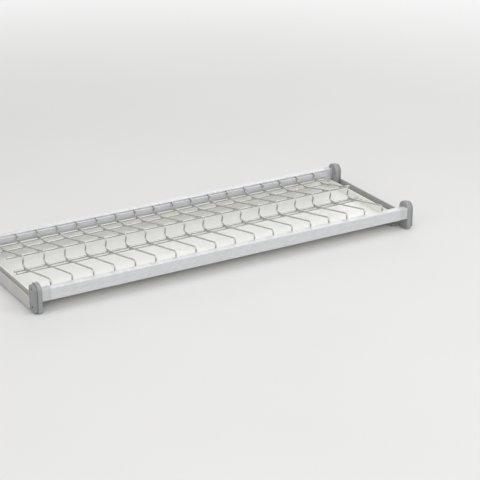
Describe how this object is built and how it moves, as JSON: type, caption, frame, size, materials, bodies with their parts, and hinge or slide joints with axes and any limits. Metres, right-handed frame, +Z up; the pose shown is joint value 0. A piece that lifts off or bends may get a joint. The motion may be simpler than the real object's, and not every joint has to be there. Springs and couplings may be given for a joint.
{
  "type": "cabinet dish rack",
  "caption": "Dish rack that spans a kitchen cabinet: aluminium rails in wall brackets, a bent-wire rack for bowls on edge and a slide-out drip tray.",
  "frame": {"origin": "middle of the rack, on the plane of the bracket bottoms", "axes": "+X to the right along the rails, +Y to the back, +Z up; the front faces -Y"},
  "size_m": [0.764, 0.268, 0.052],
  "materials": {
    "rail_aluminium": "brushed, clear anodised",
    "cap_plastic": "satin",
    "screw_steel": "zinc plated",
    "runner_plastic": "satin",
    "base_plastic": "satin",
    "cover_plastic": "satin",
    "wire_steel": "polished stainless",
    "tray_plastic": "translucent, light satin"
  },
  "bodies": {
    "frame": {"front_rail": "rail_aluminium", "rear_rail": "rail_aluminium", "rail_cap_front_right": "cap_plastic", "rail_cap_front_left": "cap_plastic", "rail_cap_rear_right": "cap_plastic", "rail_cap_rear_left": "cap_plastic", "bracket_base_front_right": "base_plastic", "bracket_base_front_left": "base_plastic", "bracket_base_rear_right": "base_plastic", "bracket_base_rear_left": "base_plastic", "bracket_cover_front_right": "cover_plastic", "bracket_cover_front_left": "cover_plastic", "bracket_cover_rear_right": "cover_plastic", "bracket_cover_rear_left": "cover_plastic", "tray_runner_right": "runner_plastic", "tray_runner_left": "runner_plastic", "rail_screws": "screw_steel"},
    "rack": {"rib_01": "wire_steel", "rib_02": "wire_steel", "rib_03": "wire_steel", "rib_04": "wire_steel", "rib_05": "wire_steel", "rib_06": "wire_steel", "rib_07": "wire_steel", "rib_08": "wire_steel", "rib_09": "wire_steel", "rib_10": "wire_steel", "rib_11": "wire_steel", "rib_12": "wire_steel", "rib_13": "wire_steel", "rib_14": "wire_steel", "rib_15": "wire_steel", "rib_16": "wire_steel", "rib_17": "wire_steel", "rib_18": "wire_steel", "front_hanger_wire": "wire_steel", "rear_hanger_wire": "wire_steel", "valley_wire_front": "wire_steel", "valley_wire_rear": "wire_steel", "ridge_wire": "wire_steel", "heel_wire_front": "wire_steel", "heel_wire_rear": "wire_steel"},
    "tray": {"drip_tray": "tray_plastic"}
  },
  "joints": [
    {"name": "tray_slide", "type": "slide", "parent": "frame", "child": "tray", "axis": [0, -1, 0], "range_m": [0, 0.24]},
    {"name": "rack_lift", "type": "slide", "parent": "frame", "child": "rack", "axis": [0, 0, 1], "range_m": [0, 0.08]}
  ]
}
